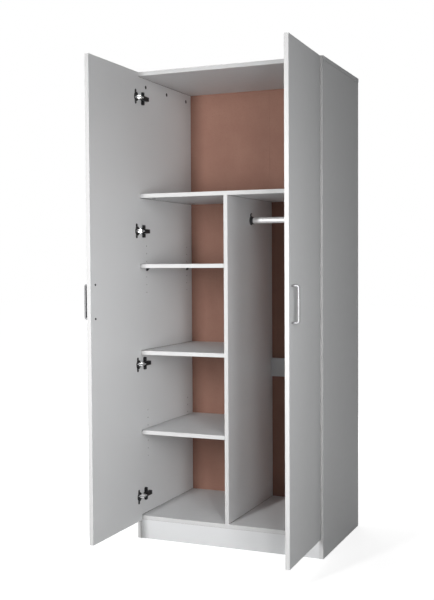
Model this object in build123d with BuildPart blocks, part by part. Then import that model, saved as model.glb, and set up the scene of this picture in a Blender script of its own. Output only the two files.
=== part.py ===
"""Two-door wardrobe of white board, standing open.

A knock-down carcass holds four shelf compartments on the left, a hanging bay on the right and one
wide compartment on top. Two full-height doors turn on four concealed cup hinges each. Every hinge is
a four-bar linkage: cranked outer links and one inner link run between an arm on the carcass side and
a cup let into the door.

The origin lies on the floor under the middle of the kickboard. Z points up and the front faces -Y.
Sizes are millimetres and degrees.
"""

import os
from cmath import phase, rect
from collections import namedtuple
from math import radians

from build123d import *

# Carcass boards
overall_height = 1910.0
carcass_width = 797.0
panel_depth = 517.0
board = 16.0
top_overhang = 1.5
kick_height = 79.0
kick_setback = 2.0
shelf_setback = 2.0
brace_width = 80.0

# Undersides of the boards between the sides
fixed_shelf_height = 1401.0
upper_shelf_height = 1115.0
middle_shelf_height = 760.0
lower_shelf_height = 432.0
brace_height = 632.5

# Hardboard back in two sheets
back_thickness = 3.0
back_inset = 3.0
back_seam = 0.4

# Loose shelves and the pinned supports that carry them
shelf_end_clearance = 0.5
shelf_rear_clearance = 2.0
pin_pitch = 32.0
pin_rows = 7
pin_front_inset = 68.0
pin_rear_inset = 53.0
pin_radius = 2.5
pin_length = 9.0
pin_hole_depth = 10.0
pin_drop = 5.0
support_reach = 12.0
support_width = 9.0
support_height = 12.0
support_plate = 2.0
support_root = 3.0

# Cam locks, their bolts, and dowels
cam_radius = 7.5
cam_depth = 12.5
cam_edge = 34.0
cam_front_inset = 72.0
cam_rear_inset = 51.0
bolt_radius = 3.0
dowel_radius = 4.0
dowel_reach = 19.0
anchor_depth = 11.0

# Hanging rail
rail_radius = 12.5
rail_wall = 1.2
rail_drop = 91.0
rail_setback = 262.0
rail_end_clearance = 0.3
bracket_plate = 2.5
bracket_radius = 19.0
bracket_tab = 22.0
bracket_tab_radius = 9.0
socket_wall = 2.5
socket_length = 12.0
rail_screw_radius = 2.0
rail_screw_length = 14.0
rail_screw_head_radius = 4.0
rail_screw_head = 2.0

# Doors
door_thickness = 16.0
door_bottom = 78.0
door_top_gap = 2.0
door_overlay = 17.5
door_centre_gap = 3.0
door_closed_gap = 2.0
left_opening = 90.0
right_opening = 91.5

# Bow handles
handle_spacing = 128.0
handle_thickness = 6.0
handle_width = 12.0
handle_projection = 28.0
handle_corner = 10.0
handle_height = 991.0
handle_edge = 33.0
handle_screw_radius = 1.9
handle_screw_bite = 10.0
handle_screw_head_radius = 4.0
handle_screw_head = 2.2

# Hinge linkage, in plan. A carcass point is complex: the real part runs from the side's inner face
# into the bay, the imaginary part from the carcass front backwards. A door point runs from the hinge
# edge towards the free edge, and from the inner face into the board.
hinge_end = 100.0
hinge_drop = 38.7
arm_pivot = 14.9 + 4.9j
arm_slot_pin = 17.6 + 11.9j
cup_pivot = 11.2 + 2.5j
cup_slot_pivot = 13.7 + 7.0j
outer_link_turn = 0.46
inner_link_turn = 0.17614
inner_link_lead = 1.19
outer_link_knees = (3.8 + 1.9j, 15.0 + 10.0j)
inner_link_knees = (4.1 + 5.7j, 25.8 + 8.1j)
slot_travel = 2.87
slot_side = 0.62
slot_wall = 1.0
link_half_width = 1.3
eye_radius = 2.4
pivot_radius = 1.0

# Hinge layers, stacked up and down from the middle of the hinge
inner_link_half = 2.6
outer_link_thickness = 3.6
cheek_thickness = 1.2
layer_gap = 0.4

# Hinge cup
cup_radius = 17.5
cup_depth = 11.3
cup_inset = 22.5
cup_wall = 2.0
cup_floor = 1.1
flange_lip = 1.3
flange_thickness = 1.2
ear_half_height = 30.0
ear_width = 13.0
ear_offset = 6.0
ear_corner = 4.0

# Hinge arm and mounting plate. The nose corners of the arm are offsets from its two pins.
arm_back = 68.0
arm_foot = 5.0
slot_pin_nose = (3.2 + 1.28j, 3.2 - 1.92j)
pivot_nose = (1.6 - 3.2j, -1.28 - 3.2j, -3.2 - 1.28j, -3.2 + 3.2j)
web_front = 22.0
web_thickness = 1.2
plate_thickness = 2.0
plate_setback = 37.0
plate_width = 16.0
plate_half_height = 26.0
plate_corner = 4.0
rib_front = 24.0
rib_back = 62.0
rib_height = 15.8
rib_clearance = 0.2

# Fits, and the number of flats on small round work
fit_clearance = 0.05
running_clearance = 0.05
slot_clearance = 0.15
bore_floor_clearance = 0.3
bracket_sides = 16
cup_sides = 16
cam_sides = 8
pin_sides = 8
pivot_hole_sides = 6
dowel_sides = 6

# Levels and faces worked out from the sizes above
front_y = -(kick_setback + board / 2)
rear_y = front_y + panel_depth
outer_x = carcass_width / 2
inner_x = outer_x - board
middle_x = board / 2
side_top = overall_height - board
floor_top = kick_height + board
rail_y = front_y + rail_setback
rail_height = fixed_shelf_height - rail_drop
door_top = overall_height - door_top_gap
door_width = inner_x + door_overlay - door_centre_gap / 2
hinge_heights = [
    door_bottom + hinge_end,
    middle_shelf_height - hinge_drop,
    (upper_shelf_height + board + fixed_shelf_height) / 2,
    door_top - hinge_end,
]
outer_link_near = inner_link_half + layer_gap
outer_link_far = outer_link_near + outer_link_thickness
cheek_near = outer_link_far + layer_gap
cheek_far = cheek_near + cheek_thickness
opening_of = {-1: left_opening, 1: right_opening}
side_name = {-1: "left", 1: "right"}

os.makedirs("parts", exist_ok=True)


def keep(builder, label):
    """Name a finished piece and write its file."""
    builder.part.label = label
    export_step(builder.part, f"parts/{label}.step")


def slab(x_span, y_span, z_span):
    """Add a straight board that fills three spans."""
    spans = (x_span, y_span, z_span)
    with Locations(tuple(sum(span) / 2 for span in spans)):
        Box(*[high - low for low, high in spans])


def face_plane(x, toward, y=0.0, z=0.0):
    """Upright plane on a board's face, looking left or right, with its own Y upwards."""
    return Plane((x, y, z), x_dir=(0, toward, 0), z_dir=(toward, 0, 0))


# Joinery rows. A row lies where two boards meet and points into the board that anchors it.
Row = namedtuple("Row", "places direction")


def drill(row, radius, depth, sides, into=1):
    """Cut a row of straight holes from where the boards meet, forwards or backwards along the row."""
    with BuildSketch(*[Plane(place, z_dir=row.direction * into) for place in row.places]) as mouths:
        RegularPolygon(radius + fit_clearance, sides)
    extrude(mouths.sketch, amount=depth, mode=Mode.SUBTRACT)


def pegs(row, radius, reach, sides):
    """Add a row of straight pegs across where the boards meet."""
    ends = [Vector(*place) - row.direction * reach for place in row.places]
    with BuildSketch(*[Plane(end, z_dir=row.direction) for end in ends]) as sections:
        RegularPolygon(radius, sides)
    extrude(sections.sketch, amount=reach + anchor_depth)


def end_row(x, toward, columns, heights):
    """Row on an upright face, pointing left or right."""
    return Row([(x, y, z) for y in columns for z in heights], Vector(toward, 0, 0))


bolt_reach = cam_edge - cam_radius
cam_columns = (front_y + cam_front_inset, rear_y - cam_rear_inset)
top_columns = (cam_columns[0], sum(cam_columns) / 2, cam_columns[1])
kick_columns = [front_y + kick_setback + board / 2]
kick_rows = (kick_height / 4, kick_height * 3 / 4)
brace_columns = [rear_y - board / 2]
brace_rows = (brace_height + brace_width / 4, brace_height + brace_width * 3 / 4)
middle_shelf_rows = [middle_shelf_height + board / 2]
bolted_rows = (kick_height + board / 2, fixed_shelf_height + board / 2)

top_bolts = {
    hand: Row([(hand * (inner_x + board / 2), y, side_top) for y in top_columns], Vector(0, 0, 1))
    for hand in (-1, 1)
}
panel_bolts = {hand: end_row(hand * inner_x, hand, cam_columns, bolted_rows) for hand in (-1, 1)}
kick_dowels = {hand: end_row(hand * inner_x, hand, kick_columns, kick_rows) for hand in (-1, 1)}
shelf_dowels = {
    -1: end_row(-inner_x, -1, cam_columns, middle_shelf_rows),
    1: end_row(-middle_x, 1, cam_columns, middle_shelf_rows),
}
brace_dowels = {
    -1: end_row(middle_x, -1, brace_columns, brace_rows),
    1: end_row(inner_x, 1, brace_columns, brace_rows),
}
divider_dowels = {
    -1: Row([(0, y, floor_top) for y in cam_columns], Vector(0, 0, -1)),
    1: Row([(0, y, fixed_shelf_height) for y in cam_columns], Vector(0, 0, 1)),
}

# Columns of pin holes stand round the supports of each loose shelf
pin_columns = (front_y + pin_front_inset, rear_y - pin_rear_inset)
loose_heights = (upper_shelf_height, lower_shelf_height)
pin_faces = {"side": (-inner_x, 1), "divider": (-middle_x, -1)}
pin_planes = {
    face: [face_plane(*place, sum(pin_columns) / 2, height - pin_drop) for height in loose_heights]
    for face, place in pin_faces.items()
}
column_gap = pin_columns[1] - pin_columns[0]


def pin_holes(face):
    """Drill the two groups of shelf-pin holes into a board's face."""
    with BuildSketch(*pin_planes[face]) as mouths:
        with GridLocations(column_gap, pin_pitch, 2, pin_rows):
            RegularPolygon(pin_radius + fit_clearance, pin_sides)
    extrude(mouths.sketch, amount=-pin_hole_depth, mode=Mode.SUBTRACT)


def cam_seats(planes, radius, depth, mode):
    """Cut or fill the round seats of cam locks, sunk straight into a face."""
    with BuildSketch(*planes) as mouths:
        RegularPolygon(radius, cam_sides)
    extrude(mouths.sketch, amount=-depth, mode=mode)


def side_cam_planes(hand):
    """Planes of the cam locks near the top of a side, on its inner face."""
    return [face_plane(hand * inner_x, -hand, y, side_top - cam_edge) for y in top_columns]


def panel_cam_planes(height):
    """Planes of the cam locks under a board that runs between the sides."""
    ends = [hand * (inner_x - cam_edge) for hand in (-1, 1)]
    return [Plane((x, y, height), z_dir=(0, 0, -1)) for x in ends for y in cam_columns]


# Screws that hold the brackets of the hanging rail
rail_screw_seat = Vector(0, rail_y, rail_height + bracket_tab)
rail_screws = {
    -1: Row([rail_screw_seat + Vector(middle_x, 0, 0)], Vector(-1, 0, 0)),
    1: Row([rail_screw_seat + Vector(inner_x, 0, 0)], Vector(1, 0, 0)),
}
rail_screw_bite = rail_screw_length - bracket_plate

# Sides
for hand in (-1, 1):
    with BuildPart() as side:
        slab(sorted((hand * inner_x, hand * outer_x)), (front_y, rear_y), (0, side_top))
        drill(top_bolts[hand], bolt_radius, bolt_reach + cam_radius, dowel_sides, into=-1)
        cam_seats(side_cam_planes(hand), cam_radius + fit_clearance, cam_depth, Mode.SUBTRACT)
        drill(panel_bolts[hand], bolt_radius, anchor_depth, dowel_sides)
        drill(kick_dowels[hand], dowel_radius, anchor_depth, dowel_sides)
        if hand < 0:
            drill(shelf_dowels[-1], dowel_radius, anchor_depth, dowel_sides)
            pin_holes("side")
        else:
            drill(brace_dowels[1], dowel_radius, anchor_depth, dowel_sides)
            drill(rail_screws[1], rail_screw_radius, rail_screw_bite, pin_sides)
    keep(side, f"side_{side_name[hand]}")

# Top, lying on the sides
with BuildPart() as top_panel:
    top_half = outer_x + top_overhang
    slab((-top_half, top_half), (front_y, rear_y), (side_top, overall_height))
    for hand in (-1, 1):
        drill(top_bolts[hand], bolt_radius, anchor_depth, dowel_sides)
keep(top_panel, "top_panel")

# Bottom panel and the full-width fixed shelf, both bolted between the sides
for label, height, setback, end in (
    ("bottom_panel", kick_height, 0.0, -1),
    ("fixed_shelf", fixed_shelf_height, shelf_setback, 1),
):
    with BuildPart() as panel:
        slab((-inner_x, inner_x), (front_y + setback, rear_y), (height, height + board))
        cam_seats(panel_cam_planes(height), cam_radius + fit_clearance, cam_depth, Mode.SUBTRACT)
        for hand in (-1, 1):
            bolts = end_row(hand * inner_x, hand, cam_columns, [height + board / 2])
            drill(bolts, bolt_radius, bolt_reach + cam_radius, dowel_sides, into=-1)
        drill(divider_dowels[end], dowel_radius, anchor_depth, dowel_sides)
    keep(panel, label)

# Kickboard under the bottom panel
with BuildPart() as kickboard:
    kick_front = front_y + kick_setback
    slab((-inner_x, inner_x), (kick_front, kick_front + board), (0, kick_height))
    for hand in (-1, 1):
        drill(kick_dowels[hand], dowel_radius, dowel_reach, dowel_sides, into=-1)
keep(kickboard, "kickboard")

# Divider between the two bays
with BuildPart() as divider:
    slab((-middle_x, middle_x), (front_y + shelf_setback, rear_y), (floor_top, fixed_shelf_height))
    for end in (-1, 1):
        drill(divider_dowels[end], dowel_radius, dowel_reach, dowel_sides, into=-1)
    drill(shelf_dowels[1], dowel_radius, anchor_depth, dowel_sides)
    drill(brace_dowels[-1], dowel_radius, anchor_depth, dowel_sides)
    drill(rail_screws[-1], rail_screw_radius, rail_screw_bite, pin_sides)
    pin_holes("divider")
keep(divider, "divider")

# Middle shelf, dowelled between the left side and the divider
with BuildPart() as middle_shelf:
    shelf_front = front_y + shelf_setback
    shelf_span = (middle_shelf_height, middle_shelf_height + board)
    slab((-inner_x, -middle_x), (shelf_front, rear_y), shelf_span)
    for end in (-1, 1):
        drill(shelf_dowels[end], dowel_radius, dowel_reach, dowel_sides, into=-1)
keep(middle_shelf, "middle_shelf")

# Loose shelves, each resting on four supports
for label, height in zip(("upper_shelf", "lower_shelf"), loose_heights):
    with BuildPart() as loose_shelf:
        left, right = -inner_x + shelf_end_clearance, -middle_x - shelf_end_clearance
        back = rear_y - shelf_rear_clearance
        slab((left, right), (front_y + shelf_setback, back), (height, height + board))
    keep(loose_shelf, label)

# A support is a pin with a small plate under the shelf, stiffened by a rib that runs down to the pin
support_outline = (
    (0, 0),
    (support_reach, 0),
    (support_reach, -support_plate),
    (support_root, -support_height),
    (0, -support_height),
)
with BuildPart() as shelf_pins:
    for face, (x, toward) in pin_faces.items():
        with BuildSketch(*pin_planes[face]):
            with GridLocations(column_gap, 0, 2, 1):
                RegularPolygon(pin_radius, pin_sides)
        extrude(amount=-pin_length)
        places = [(x, y, height) for y in pin_columns for height in loose_heights]
        upright = [Plane(place, x_dir=(toward, 0, 0), z_dir=(0, -toward, 0)) for place in places]
        with BuildSketch(*upright):
            with BuildLine():
                Polyline(*support_outline, close=True)
            make_face()
        extrude(amount=support_width / 2, both=True)
keep(shelf_pins, "shelf_pins")

# Brace across the back of the hanging bay
with BuildPart() as rear_brace:
    brace_span = (brace_height, brace_height + brace_width)
    slab((middle_x, inner_x), (rear_y - board, rear_y), brace_span)
    for end in (-1, 1):
        drill(brace_dowels[end], dowel_radius, dowel_reach, dowel_sides, into=-1)
keep(rear_brace, "rear_brace")

# Back sheets on the rear edges, butted behind the divider
for hand in (-1, 1):
    with BuildPart() as back_sheet:
        across = sorted((hand * back_seam / 2, hand * (outer_x - back_inset)))
        slab(across, (rear_y, rear_y + back_thickness), (kick_height, overall_height - back_inset))
    keep(back_sheet, f"back_{side_name[hand]}")

# Cam locks, bolts and dowels
with BuildPart() as cam_locks:
    for hand in (-1, 1):
        cam_seats(side_cam_planes(hand), cam_radius, cam_depth, Mode.ADD)
    for height in (kick_height, fixed_shelf_height):
        cam_seats(panel_cam_planes(height), cam_radius, cam_depth, Mode.ADD)
keep(cam_locks, "cam_locks")

with BuildPart() as cam_bolts:
    for row in (*top_bolts.values(), *panel_bolts.values()):
        pegs(row, bolt_radius, bolt_reach, dowel_sides)
keep(cam_bolts, "cam_bolts")

with BuildPart() as dowels:
    for joint in (kick_dowels, shelf_dowels, brace_dowels, divider_dowels):
        for row in joint.values():
            pegs(row, dowel_radius, dowel_reach, dowel_sides)
keep(dowels, "dowels")

# Hanging rail in two keyhole brackets
with BuildPart() as hanging_rail:
    rail_inset = bracket_plate + rail_end_clearance
    with BuildSketch(face_plane(middle_x + rail_inset, 1, rail_y, rail_height)):
        Circle(rail_radius)
        Circle(rail_radius - rail_wall, mode=Mode.SUBTRACT)
    extrude(amount=inner_x - middle_x - 2 * rail_inset)
keep(hanging_rail, "hanging_rail")

socket_radius = rail_radius + running_clearance
bracket_planes = [
    face_plane(middle_x, 1, rail_y, rail_height),
    face_plane(inner_x, -1, rail_y, rail_height),
]
with BuildPart() as rail_brackets:
    with BuildSketch(*bracket_planes):
        RegularPolygon(bracket_radius, bracket_sides)
        with Locations((0, bracket_tab / 2)):
            Rectangle(2 * bracket_tab_radius, bracket_tab)
        with Locations((0, bracket_tab)):
            RegularPolygon(bracket_tab_radius, bracket_sides)
            RegularPolygon(rail_screw_radius + fit_clearance, pin_sides, mode=Mode.SUBTRACT)
    extrude(amount=bracket_plate)
    with BuildSketch(*bracket_planes):
        RegularPolygon(socket_radius + socket_wall, bracket_sides, major_radius=False)
        RegularPolygon(socket_radius, bracket_sides, major_radius=False, mode=Mode.SUBTRACT)
    extrude(amount=socket_length)
keep(rail_brackets, "rail_brackets")

with BuildPart() as rail_bracket_screws:
    for row in rail_screws.values():
        seats = [place - row.direction * bracket_plate for place in row.places]
        seat_planes = [Plane(seat, z_dir=row.direction) for seat in seats]
        with BuildSketch(*seat_planes):
            RegularPolygon(rail_screw_radius, pin_sides)
        extrude(amount=rail_screw_length)
        with BuildSketch(*seat_planes):
            RegularPolygon(rail_screw_head_radius, pin_sides)
        extrude(amount=-rail_screw_head)
keep(rail_bracket_screws, "rail_bracket_screws")


# Hinge geometry in plan
closed_pivot = complex(-door_overlay, -door_closed_gap) + cup_pivot.conjugate()
closed_slot_pivot = complex(-door_overlay, -door_closed_gap) + cup_slot_pivot.conjugate()
outer_link_length = abs(closed_pivot - arm_pivot)
inner_link_length = abs(closed_slot_pivot - arm_slot_pin) + slot_travel


def turned(length, closed_direction, degrees):
    """Plan vector of a length, turned on from its direction with the doors closed."""
    return rect(length, phase(closed_direction) + radians(degrees))


def on_door(opening, along, depth):
    """Plan point on a door that stands open by an angle."""
    pivot = arm_pivot + turned(outer_link_length, closed_pivot - arm_pivot, outer_link_turn * opening)
    edge = rect(1, -radians(opening))
    inward = -1j * edge
    return pivot + (along - cup_pivot.real) * edge + (depth - cup_pivot.imag) * inward


def world(hand, point):
    """Floor coordinates of a plan point at the left or right side."""
    return (hand * (inner_x - point.real), front_y + point.imag)


def door_plane(hand, along, depth, height):
    """Plane square to a door's face, with its X towards the free edge and its normal into the board."""
    opening = opening_of[hand]
    edge = rect(1, -radians(opening))
    inward = -1j * edge
    origin = (*world(hand, on_door(opening, along, depth)), height)
    x_dir = (-hand * edge.real, edge.imag, 0)
    return Plane(origin, x_dir=x_dir, z_dir=(-hand * inward.real, inward.imag, 0))


def plan_face(hand, outline, mode=Mode.ADD):
    """Add or cut a flat face bounded by plan points in the sketch."""
    with BuildLine() as edge:
        Polyline(*[world(hand, point) for point in outline], close=True)
    make_face(edge.edges(), mode=mode)


def block(centre, direction, half):
    """Outline of a straight block, given by its half length and half width along a direction."""
    across, beside = half.real * direction, half.imag * 1j * direction
    corners = ((1, 1), (-1, 1), (-1, -1), (1, -1))
    return [centre + a * across + b * beside for a, b in corners]


def strip(points):
    """Outline of an even strip along a cranked line, mitred where it bends."""
    legs = [after - before for before, after in zip(points, points[1:])]
    normals = [1j * leg / abs(leg) for leg in legs]
    bends = [(a + b) / (1 + (a * b.conjugate()).real) for a, b in zip(normals, normals[1:])]
    sides = [normals[0], *bends, normals[-1]]
    upper = [point + link_half_width * side for point, side in zip(points, sides)]
    lower = [point - link_half_width * side for point, side in zip(points, sides)]
    return upper + lower[::-1]


def cranked(start, end, knees):
    """Points of a link that bends at its knees, each given along and beside the straight line."""
    line = (end - start) / abs(end - start)
    return [start, *[start + knee * line for knee in knees], end]


def layers(*offsets):
    """Level planes at given heights above the middle of every hinge."""
    return [Plane.XY.offset(height + offset) for height in hinge_heights for offset in offsets]


def side_planes(hand, setback):
    """Planes on a side's inner face beside every hinge, at a distance behind the carcass front."""
    return [face_plane(hand * inner_x, -hand, front_y + setback, height) for height in hinge_heights]


def pivot_pin(hand, point):
    """Add the round section of a pivot pin to the sketch."""
    with Locations(world(hand, point)):
        RegularPolygon(pivot_radius, pin_sides)


def pivot_stubs(hand, point):
    """Add two short pins at a pivot, standing in from the cheeks on each side of the inner link."""
    with BuildSketch(*layers(outer_link_near, -cheek_far)) as stubs:
        pivot_pin(hand, point)
    extrude(stubs.sketch, amount=cheek_far - outer_link_near)


def pivot_bar(hand, point):
    """Add one pin right across a hinge at a pivot."""
    with BuildSketch(*layers(-cheek_far)) as bars:
        pivot_pin(hand, point)
    extrude(bars.sketch, amount=2 * cheek_far)


def link_eye(hand, point):
    """Add the eye of a link to the sketch."""
    with Locations(world(hand, point)):
        RegularPolygon(eye_radius, pin_sides)


def pivot_hole(hand, point):
    """Open a running hole for a pivot pin in the sketch."""
    radius = pivot_radius + running_clearance
    with Locations(world(hand, point)):
        RegularPolygon(radius, pivot_hole_sides, major_radius=False, mode=Mode.SUBTRACT)


# Doors with their handles and hinges
door_span = door_top - door_bottom
bore_depth = cup_depth + bore_floor_clearance
handle_offset = door_width - handle_edge
handle_rise = handle_spacing / 2
handle_levels = (handle_height - handle_rise, handle_height + handle_rise)

for hand in (-1, 1):
    name = side_name[hand]
    opening = opening_of[hand]
    cup_planes = [door_plane(hand, cup_inset, 0, height) for height in hinge_heights]
    screw_planes = [door_plane(hand, handle_offset, 0, height) for height in handle_levels]

    with BuildPart() as door:
        with BuildSketch(Plane.XY.offset(door_bottom)):
            corners = ((0, 0), (door_width, 0), (door_width, door_thickness), (0, door_thickness))
            plan_face(hand, [on_door(opening, *corner) for corner in corners])
        extrude(amount=door_span)
        with BuildSketch(*cup_planes):
            RegularPolygon(cup_radius + fit_clearance, cup_sides)
        extrude(amount=bore_depth, mode=Mode.SUBTRACT)
        with BuildSketch(*screw_planes):
            RegularPolygon(handle_screw_radius + fit_clearance, pin_sides)
        extrude(amount=door_thickness, mode=Mode.SUBTRACT)
    keep(door, f"door_{name}")

    # Half of a rounded frame, with a leg at each end
    with BuildPart() as handle:
        base = door_plane(hand, handle_offset - handle_width / 2, door_thickness, handle_height)
        with BuildSketch(Plane(base.origin, x_dir=base.z_dir, z_dir=base.x_dir)):
            RectangleRounded(2 * handle_projection, handle_spacing + handle_thickness, handle_corner)
            RectangleRounded(
                2 * (handle_projection - handle_thickness),
                handle_spacing - handle_thickness,
                handle_corner - handle_thickness,
                mode=Mode.SUBTRACT,
            )
            with Locations((-handle_projection / 2, 0)):
                Rectangle(handle_projection, handle_spacing + handle_thickness, mode=Mode.SUBTRACT)
        extrude(amount=handle_width)
        with BuildSketch(*[door_plane(hand, handle_offset, door_thickness, z) for z in handle_levels]):
            RegularPolygon(handle_screw_radius + fit_clearance, pin_sides)
        extrude(amount=handle_screw_bite + bore_floor_clearance, mode=Mode.SUBTRACT)
    keep(handle, f"handle_{name}")

    with BuildPart() as handle_screws:
        with BuildSketch(*screw_planes):
            RegularPolygon(handle_screw_radius, pin_sides)
        extrude(amount=door_thickness + handle_screw_bite)
        with BuildSketch(*screw_planes):
            RegularPolygon(handle_screw_head_radius, pin_sides)
        extrude(amount=-handle_screw_head)
    keep(handle_screws, f"handle_screws_{name}")

    cup_pivot_place = on_door(opening, cup_pivot.real, cup_pivot.imag)
    cup_slot_place = on_door(opening, cup_slot_pivot.real, cup_slot_pivot.imag)

    # Cups pressed into the doors, open towards the hinge edge, with the door's pivots across them
    with BuildPart() as hinge_cups:
        with BuildSketch(*cup_planes):
            RegularPolygon(cup_radius, cup_sides)
        extrude(amount=cup_depth)
        with BuildSketch(*cup_planes) as flange:
            with Locations((ear_offset, 0)):
                Rectangle(ear_width, 2 * ear_half_height)
            chamfer(flange.vertices(), ear_corner)
            RegularPolygon(cup_radius + flange_lip, cup_sides)
        extrude(amount=-flange_thickness)
        with BuildSketch(*[door_plane(hand, cup_inset, -flange_thickness, z) for z in hinge_heights]):
            Rectangle(2 * (cup_radius - cup_wall), 2 * cheek_near)
        extrude(amount=flange_thickness + cup_depth - cup_floor, mode=Mode.SUBTRACT)
        mouth = cup_inset - cup_radius + cup_wall
        with BuildSketch(*[door_plane(hand, mouth / 2, 0, z) for z in hinge_heights]):
            Rectangle(mouth, 2 * cheek_near)
        extrude(amount=-flange_thickness, mode=Mode.SUBTRACT)
        pivot_stubs(hand, cup_pivot_place)
        pivot_bar(hand, cup_slot_place)
    keep(hinge_cups, f"hinge_cups_{name}")

    # Outer links, a pair to each hinge
    with BuildPart() as outer_links:
        with BuildSketch(*layers(outer_link_near, -outer_link_far)):
            plan_face(hand, strip(cranked(arm_pivot, cup_pivot_place, outer_link_knees)))
            for pivot in (arm_pivot, cup_pivot_place):
                link_eye(hand, pivot)
                pivot_hole(hand, pivot)
        extrude(amount=outer_link_far - outer_link_near)
    keep(outer_links, f"hinge_outer_links_{name}")

    # Inner link, turning on the cup and sliding on the arm's second pin in a slot
    lead = inner_link_lead + inner_link_turn * opening
    reach = turned(1, closed_slot_pivot - arm_slot_pin, lead)
    slot_place = cup_slot_place - inner_link_length * reach
    slot_half = complex(slot_travel + pivot_radius, slot_side + pivot_radius)
    slot_half += slot_clearance * (1 + 1j)
    with BuildPart() as inner_links:
        with BuildSketch(*layers(-inner_link_half)):
            plan_face(hand, strip(cranked(slot_place, cup_slot_place, inner_link_knees)))
            link_eye(hand, cup_slot_place)
            plan_face(hand, block(slot_place, reach, slot_half + slot_wall * (1 + 1j)))
            pivot_hole(hand, cup_slot_place)
            plan_face(hand, block(slot_place, reach, slot_half), Mode.SUBTRACT)
        extrude(amount=2 * inner_link_half)
    keep(inner_links, f"hinge_inner_links_{name}")

    # Arms: two cheeks that carry the pivots, joined by a web over the mounting plate
    web_top = rib_height + web_thickness
    with BuildPart() as arms:
        with BuildSketch(*layers(cheek_near, -cheek_far)):
            cheek = [
                complex(arm_foot, arm_back),
                complex(web_top, arm_back),
                complex(web_top, web_front),
                *[arm_slot_pin + corner for corner in slot_pin_nose],
                *[arm_pivot + corner for corner in pivot_nose],
                complex(arm_foot, rib_front),
            ]
            plan_face(hand, cheek)
        extrude(amount=cheek_far - cheek_near)
        with BuildSketch(*layers(-cheek_far)):
            web = complex(web_thickness, arm_back - web_front) / 2
            plan_face(hand, block(complex(rib_height, web_front) + web, 1, web))
        extrude(amount=2 * cheek_far)
        pivot_stubs(hand, arm_pivot)
        pivot_bar(hand, arm_slot_pin)
    keep(arms, f"hinge_arms_{name}")

    # Mounting plates: a winged base on the side, with a raised rib inside the arm
    with BuildPart() as plates:
        with BuildSketch(*side_planes(hand, plate_setback)) as wings:
            Rectangle(plate_width, 2 * plate_half_height)
            chamfer(wings.vertices(), plate_corner)
        extrude(amount=plate_thickness)
        with BuildSketch(*side_planes(hand, (rib_front + rib_back) / 2)):
            Rectangle(rib_back - rib_front, 2 * (cheek_near - rib_clearance))
        extrude(amount=rib_height)
    keep(plates, f"hinge_plates_{name}")
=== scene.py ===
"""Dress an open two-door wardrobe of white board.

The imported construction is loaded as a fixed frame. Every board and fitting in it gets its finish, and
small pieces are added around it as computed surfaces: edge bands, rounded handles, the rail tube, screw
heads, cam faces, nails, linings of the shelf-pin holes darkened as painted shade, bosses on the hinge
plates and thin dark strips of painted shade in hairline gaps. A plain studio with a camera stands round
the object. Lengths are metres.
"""

import logging
import math
from dataclasses import dataclass
from enum import Enum

import bmesh
import bpy
import numpy as np
from mathutils import Matrix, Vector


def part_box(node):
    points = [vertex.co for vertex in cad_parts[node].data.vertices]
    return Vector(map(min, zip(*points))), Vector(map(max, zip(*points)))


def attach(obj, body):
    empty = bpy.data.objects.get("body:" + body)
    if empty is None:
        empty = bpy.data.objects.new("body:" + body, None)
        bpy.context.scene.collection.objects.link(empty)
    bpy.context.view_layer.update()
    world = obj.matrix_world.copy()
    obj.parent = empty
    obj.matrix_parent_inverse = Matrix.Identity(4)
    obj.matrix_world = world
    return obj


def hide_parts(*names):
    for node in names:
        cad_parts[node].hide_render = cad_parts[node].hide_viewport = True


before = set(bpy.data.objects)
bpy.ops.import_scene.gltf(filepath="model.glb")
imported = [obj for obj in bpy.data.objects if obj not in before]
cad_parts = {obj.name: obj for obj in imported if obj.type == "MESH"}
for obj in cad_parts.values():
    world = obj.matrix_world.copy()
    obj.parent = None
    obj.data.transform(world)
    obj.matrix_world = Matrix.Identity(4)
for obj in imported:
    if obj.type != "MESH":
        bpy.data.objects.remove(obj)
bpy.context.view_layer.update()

Colour = tuple[float, float, float]
Place = tuple[float, float, float]
Grid = np.ndarray

WHITE = (1.0, 1.0, 1.0, 1.0)
WELD_DISTANCE = 1e-7
SECTION_STEPS = 40
ROUND = 2.0

log = logging.getLogger("wardrobe")


class Hand(Enum):
    """The two sides of the wardrobe, valued by the sign of X."""

    LEFT = -1
    RIGHT = 1

    @property
    def word(self) -> str:
        """Name of the side as the nodes spell it."""
        return self.name.lower()


class Grain(Enum):
    """Direction that a streaked finish runs in, as the stretch of its pattern along X, Y and Z."""

    ALONG_X = (0.02, 1.0, 1.0)
    ALONG_Z = (1.0, 1.0, 0.02)
    EVEN = (1.0, 1.0, 1.0)


class Detail(Enum):
    """Number of finer layers in a noise pattern."""

    FEW = 2.0
    SOME = 3.0
    MANY = 4.0
    MOST = 5.0


# Shader nodes


NOISE_WEAK, NOISE_STRONG = 0.3, 0.7
MIX_SHARE, MIX_FIRST, MIX_SECOND, MIX_RESULT = 0, 6, 7, 2


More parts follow.
